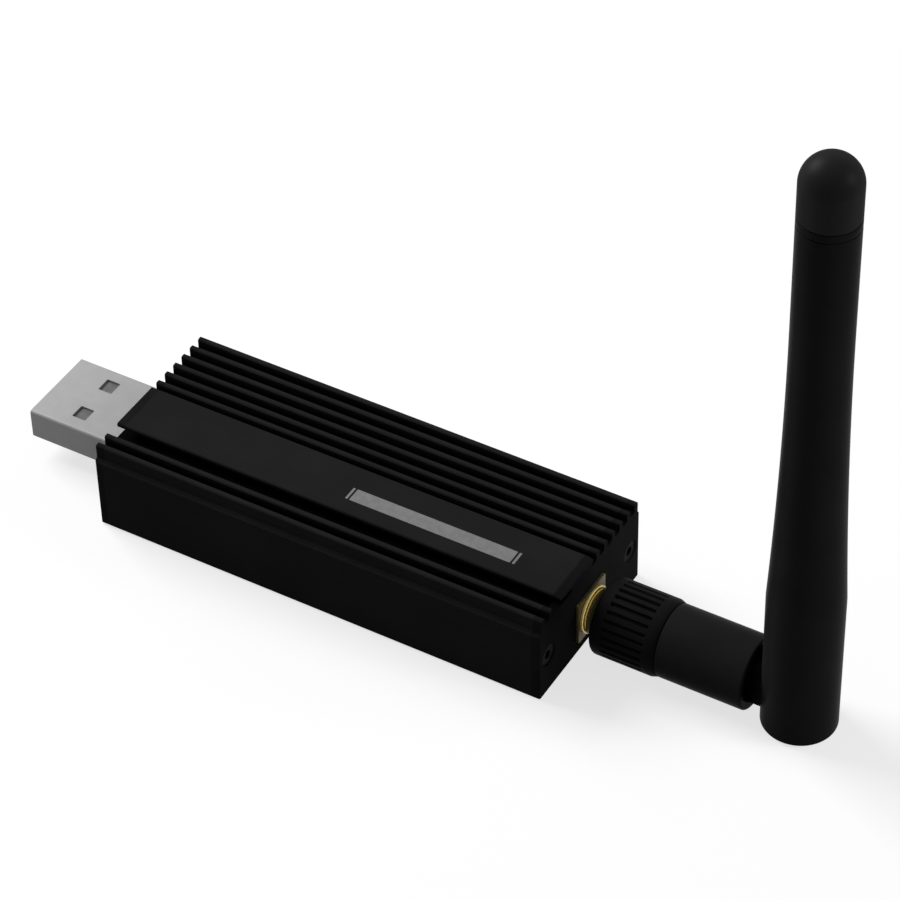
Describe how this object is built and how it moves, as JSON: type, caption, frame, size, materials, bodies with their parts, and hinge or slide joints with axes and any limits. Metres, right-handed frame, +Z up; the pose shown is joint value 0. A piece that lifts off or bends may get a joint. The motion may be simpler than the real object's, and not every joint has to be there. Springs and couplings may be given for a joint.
{
  "type": "smart home usb radio stick",
  "caption": "Radio stick with a finned black metal housing, a usb plug at one end and at the other a screw-on antenna on a tilting elbow.",
  "frame": {"origin": "middle of the housing's flat bottom", "axes": "+X from the usb plug to the antenna, +Z up through the finned top, -Y towards the side with the undercut slot"},
  "size_m": [0.1135, 0.0254, 0.0864],
  "materials": {
    "anodised_black": "fine matte black coat",
    "screw_black": "blackened",
    "plug_steel": "satin nickel",
    "plug_grey": "moulded grey",
    "contact_gold": "gold plated",
    "jack_gold": "gold plated",
    "board_mask": "green solder mask",
    "chip_black": "moulded black",
    "tinplate": "bright tin",
    "light_lens": "clear lens",
    "tantalum_case": "moulded ochre",
    "ceramic_brown": "fired",
    "coil_grey": "fired",
    "ptfe_white": "turned",
    "plated_brass": "plated",
    "dipole_brass": "drawn",
    "seal_rubber": "moulded",
    "antenna_black": "moulded satin black",
    "cable_brown": "extruded jacket"
  },
  "bodies": {
    "housing": {"housing_extrusion": "anodised_black", "front_end_plate": "anodised_black", "rear_end_plate": "anodised_black", "front_screw_near": "screw_black", "front_screw_far": "screw_black", "rear_screw_near": "screw_black", "rear_screw_far": "screw_black", "usb_shell": "plug_steel", "usb_insulator": "plug_grey", "usb_contact_1": "contact_gold", "usb_contact_2": "contact_gold", "usb_contact_3": "contact_gold", "usb_contact_4": "contact_gold", "circuit_board": "board_mask", "shield_can": "tinplate", "radio_chip": "chip_black", "bridge_chip": "chip_black", "voltage_regulator": "chip_black", "radio_crystal": "tinplate", "clock_crystal": "tinplate", "power_light": "light_lens", "radio_light": "light_lens", "bulk_capacitor": "tantalum_case", "small_capacitors": "ceramic_brown", "matching_coils": "coil_grey", "jack_body": "jack_gold", "jack_insulator": "ptfe_white", "jack_contact": "contact_gold"},
    "antenna_plug": {"plug_ferrule": "plated_brass", "plug_insulator": "ptfe_white", "plug_pin": "contact_gold", "snap_ring": "plated_brass", "sealing_ring": "seal_rubber"},
    "screw_nut": {"coupling_nut": "plated_brass", "knurled_collar": "antenna_black"},
    "elbow": {"elbow_base": "antenna_black", "base_cable": "cable_brown"},
    "whip": {"whip_tube": "antenna_black", "band_ring": "antenna_black", "end_cap": "antenna_black", "whip_cable": "cable_brown", "dipole_sleeve": "dipole_brass", "feed_bead": "ptfe_white", "dipole_wire": "dipole_brass"}
  },
  "joints": [
    {"name": "antenna_travel", "type": "slide", "parent": "housing", "child": "antenna_plug", "axis": [1, 0, 0], "range_m": [0, 0.0053]},
    {"name": "nut_spin", "type": "hinge", "parent": "antenna_plug", "child": "screw_nut", "pos_m": [0.03835, 0, 0.0049], "axis": [1, 0, 0], "range_deg": [0, 2750]},
    {"name": "base_swivel", "type": "hinge", "parent": "antenna_plug", "child": "elbow", "pos_m": [0.04635, 0, 0.0049], "axis": [1, 0, 0], "range_deg": [-180, 180]},
    {"name": "whip_tilt", "type": "hinge", "parent": "elbow", "child": "whip", "pos_m": [0.0613, 0, 0.0049], "axis": [0, 1, 0], "range_deg": [0, 90]}
  ],
  "couplings": [
    {"joint": "nut_spin", "follows": "antenna_travel", "rad_per_m": 8904.7}
  ]
}
